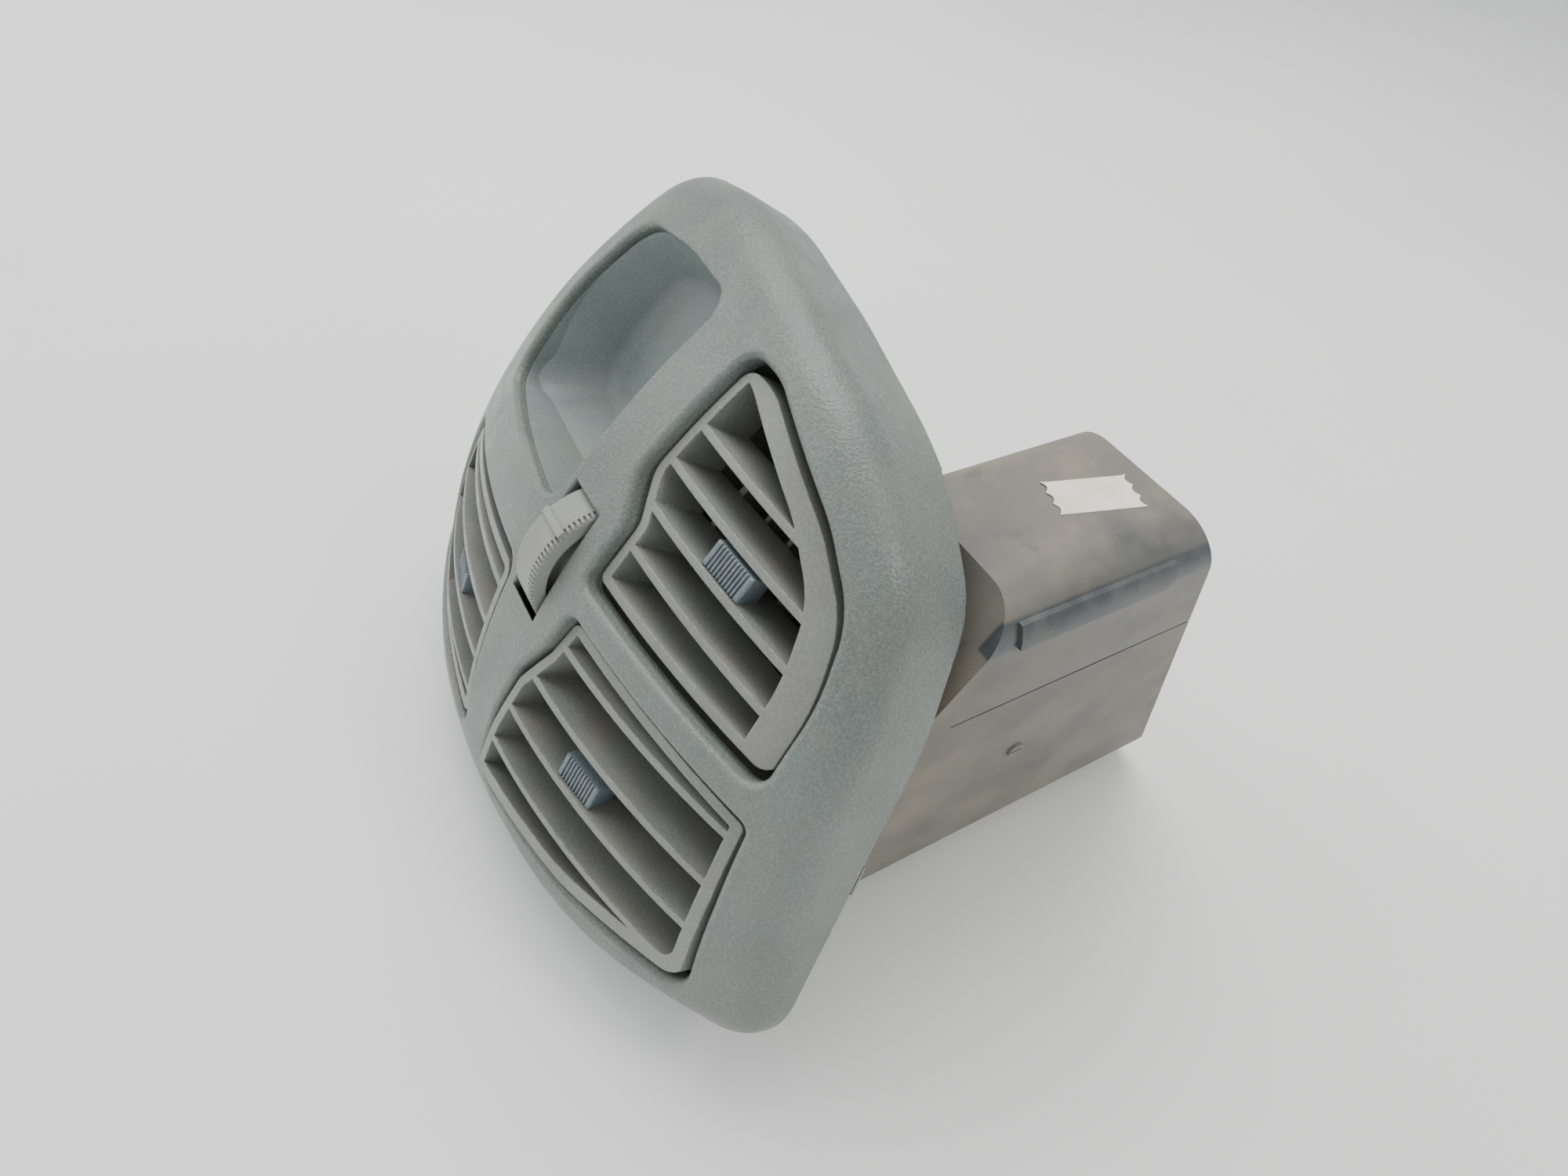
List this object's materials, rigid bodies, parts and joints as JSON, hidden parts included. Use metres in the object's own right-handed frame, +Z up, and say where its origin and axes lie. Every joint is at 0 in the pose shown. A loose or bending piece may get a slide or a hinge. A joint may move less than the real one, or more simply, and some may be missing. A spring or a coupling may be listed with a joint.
{
  "type": "dashboard air vent",
  "caption": "Domed dashboard centre vent with louvred tilting grilles, an open pocket, a thumbwheel-driven damper and a rear supply duct.",
  "frame": {"origin": "in the plane of the bezel's seating rim, on the centre line of the spine, square behind the middle of the thumbwheel slot", "axes": "+X across the face to the viewer's right, +Y level into the dashboard along the supply duct, +Z up; the face leans back 32.3 degrees"},
  "size_m": [0.2264, 0.2133, 0.1636],
  "materials": {
    "bezel_plastic": "fine pebble grain, matte",
    "housing_plastic": "moulded, matte",
    "pocket_plastic": "smooth satin",
    "grille_plastic": "smooth satin",
    "knob_plastic": "satin, ribbed",
    "wheel_plastic": "satin, serrated edge",
    "vane_plastic": "moulded, matte",
    "link_plastic": "natural acetal",
    "duct_plastic": "semi-gloss, dusty",
    "zinc_steel": "zinc plated",
    "spring_steel": "sheet metal",
    "paper_label": "paper, blank",
    "foam": "closed-cell foam"
  },
  "bodies": {
    "housing": {"bezel": "bezel_plastic", "vent_housing": "housing_plastic", "vent_tube_r": "housing_plastic", "vent_tube_b": "housing_plastic", "vent_tube_l": "housing_plastic", "display_pocket": "pocket_plastic", "bezel_screws": "zinc_steel", "rim_clips": "spring_steel", "plenum": "duct_plastic", "duct_upper": "duct_plastic", "duct_lower": "duct_plastic", "price_label": "paper_label", "wheel_axle": "zinc_steel", "wheel_bracket": "housing_plastic"},
    "wheel": {"thumbwheel": "wheel_plastic"},
    "link": {"damper_link": "link_plastic"},
    "damper": {"damper_shaft": "housing_plastic", "damper_flap": "duct_plastic", "flap_seal": "foam"},
    "grille_body_r": {"grille_r": "grille_plastic", "vane_carrier_r": "housing_plastic"},
    "slider_r": {"knob_r": "knob_plastic", "link_bar_r": "link_plastic"},
    "vane_body_r1": {"vane_r1": "vane_plastic"},
    "vane_body_r2": {"vane_r2": "vane_plastic"},
    "vane_body_r3": {"vane_r3": "vane_plastic"},
    "vane_body_r4": {"vane_r4": "vane_plastic"},
    "grille_body_b": {"grille_b": "grille_plastic", "vane_carrier_b": "housing_plastic"},
    "slider_b": {"knob_b": "knob_plastic", "link_bar_b": "link_plastic"},
    "vane_body_b1": {"vane_b1": "vane_plastic"},
    "vane_body_b2": {"vane_b2": "vane_plastic"},
    "vane_body_b3": {"vane_b3": "vane_plastic"},
    "vane_body_b4": {"vane_b4": "vane_plastic"},
    "grille_body_l": {"grille_l": "grille_plastic", "vane_carrier_l": "housing_plastic"},
    "slider_l": {"knob_l": "knob_plastic", "link_bar_l": "link_plastic"},
    "vane_body_l1": {"vane_l1": "vane_plastic"},
    "vane_body_l2": {"vane_l2": "vane_plastic"},
    "vane_body_l3": {"vane_l3": "vane_plastic"},
    "vane_body_l4": {"vane_l4": "vane_plastic"}
  },
  "joints": [
    {"name": "wheel_turn", "type": "hinge", "parent": "housing", "child": "wheel", "pos_m": [0, -0.02578, 0.0163], "axis": [1, 0, 0], "range_deg": [-40, 40]},
    {"name": "link_slide", "type": "slide", "parent": "housing", "child": "link", "axis": [0, 0.9346, -0.3558], "range_m": [-0.0078, 0.0078]},
    {"name": "damper_turn", "type": "hinge", "parent": "housing", "child": "damper", "pos_m": [0, 0.06313, -0.01755], "axis": [1, 0, 0], "range_deg": [-25.2, 25.2]},
    {"name": "grille_tilt_r", "type": "hinge", "parent": "housing", "child": "grille_body_r", "pos_m": [0.043, -0.00415, 0.04445], "axis": [0.9775, 0.1554, -0.1424], "range_deg": [-8, 8]},
    {"name": "knob_slide_r", "type": "slide", "parent": "grille_body_r", "child": "slider_r", "axis": [0.9775, 0.1554, -0.1424], "range_m": [-0.0053, 0.0053]},
    {"name": "vane_turn_r1", "type": "hinge", "parent": "grille_body_r", "child": "vane_body_r1", "pos_m": [0.02633, 0.01017, 0.03132], "axis": [0, 0.6757, 0.7371], "range_deg": [-30, 30]},
    {"name": "vane_turn_r2", "type": "hinge", "parent": "grille_body_r", "child": "vane_body_r2", "pos_m": [0.03493, 0.01154, 0.03007], "axis": [0, 0.6757, 0.7371], "range_deg": [-30, 30]},
    {"name": "vane_turn_r3", "type": "hinge", "parent": "grille_body_r", "child": "vane_body_r3", "pos_m": [0.04353, 0.0129, 0.02882], "axis": [0, 0.6757, 0.7371], "range_deg": [-30, 30]},
    {"name": "vane_turn_r4", "type": "hinge", "parent": "grille_body_r", "child": "vane_body_r4", "pos_m": [0.05214, 0.01427, 0.02756], "axis": [0, 0.6757, 0.7371], "range_deg": [-30, 30]},
    {"name": "grille_tilt_b", "type": "hinge", "parent": "housing", "child": "grille_body_b", "pos_m": [0.04876, -0.04444, -0.01828], "axis": [0.9717, 0.2204, -0.0848], "range_deg": [-3, 13]},
    {"name": "knob_slide_b", "type": "slide", "parent": "grille_body_b", "child": "slider_b", "axis": [0.9717, 0.2204, -0.0848], "range_m": [-0.0053, 0.0053]},
    {"name": "vane_turn_b1", "type": "hinge", "parent": "grille_body_b", "child": "vane_body_b1", "pos_m": [0.02772, -0.02839, -0.02655], "axis": [-0.0206, 0.4366, 0.8994], "range_deg": [-30, 30]},
    {"name": "vane_turn_b2", "type": "hinge", "parent": "grille_body_b", "child": "vane_body_b2", "pos_m": [0.04074, -0.02543, -0.02769], "axis": [-0.0206, 0.4366, 0.8994], "range_deg": [-30, 30]},
    {"name": "vane_turn_b3", "type": "hinge", "parent": "grille_body_b", "child": "vane_body_b3", "pos_m": [0.05377, -0.02248, -0.02883], "axis": [-0.0206, 0.4366, 0.8994], "range_deg": [-30, 30]},
    {"name": "vane_turn_b4", "type": "hinge", "parent": "grille_body_b", "child": "vane_body_b4", "pos_m": [0.06679, -0.01953, -0.02996], "axis": [-0.0206, 0.4366, 0.8994], "range_deg": [-30, 30]},
    {"name": "grille_tilt_l", "type": "hinge", "parent": "housing", "child": "grille_body_l", "pos_m": [-0.04876, -0.04581, -0.02194], "axis": [0.9717, -0.222, 0.0804], "range_deg": [-8, 8]},
    {"name": "knob_slide_l", "type": "slide", "parent": "grille_body_l", "child": "slider_l", "axis": [0.9717, -0.222, 0.0804], "range_m": [-0.0053, 0.0053]},
    {"name": "vane_turn_l1", "type": "hinge", "parent": "grille_body_l", "child": "vane_body_l1", "pos_m": [-0.06599, -0.0201, -0.03125], "axis": [0, 0.3407, 0.9402], "range_deg": [-30, 30]},
    {"name": "vane_turn_l2", "type": "hinge", "parent": "grille_body_l", "child": "vane_body_l2", "pos_m": [-0.05161, -0.02339, -0.03006], "axis": [0, 0.3407, 0.9402], "range_deg": [-30, 30]},
    {"name": "vane_turn_l3", "type": "hinge", "parent": "grille_body_l", "child": "vane_body_l3", "pos_m": [-0.03723, -0.02667, -0.02887], "axis": [0, 0.3407, 0.9402], "range_deg": [-30, 30]},
    {"name": "vane_turn_l4", "type": "hinge", "parent": "grille_body_l", "child": "vane_body_l4", "pos_m": [-0.02284, -0.02996, -0.02768], "axis": [0, 0.3407, 0.9402], "range_deg": [-30, 30]}
  ],
  "couplings": [
    {"joint": "link_slide", "follows": "wheel_turn", "m_per_rad": -0.011},
    {"joint": "damper_turn", "follows": "wheel_turn", "ratio": 0.625},
    {"joint": "vane_turn_r1", "follows": "knob_slide_r", "rad_per_m": 98.04},
    {"joint": "vane_turn_r2", "follows": "knob_slide_r", "rad_per_m": 98.04},
    {"joint": "vane_turn_r3", "follows": "knob_slide_r", "rad_per_m": 98.04},
    {"joint": "vane_turn_r4", "follows": "knob_slide_r", "rad_per_m": 98.04},
    {"joint": "vane_turn_b1", "follows": "knob_slide_b", "rad_per_m": 98.04},
    {"joint": "vane_turn_b2", "follows": "knob_slide_b", "rad_per_m": 98.04},
    {"joint": "vane_turn_b3", "follows": "knob_slide_b", "rad_per_m": 98.04},
    {"joint": "vane_turn_b4", "follows": "knob_slide_b", "rad_per_m": 98.04},
    {"joint": "vane_turn_l1", "follows": "knob_slide_l", "rad_per_m": 98.04},
    {"joint": "vane_turn_l2", "follows": "knob_slide_l", "rad_per_m": 98.04},
    {"joint": "vane_turn_l3", "follows": "knob_slide_l", "rad_per_m": 98.04},
    {"joint": "vane_turn_l4", "follows": "knob_slide_l", "rad_per_m": 98.04}
  ]
}
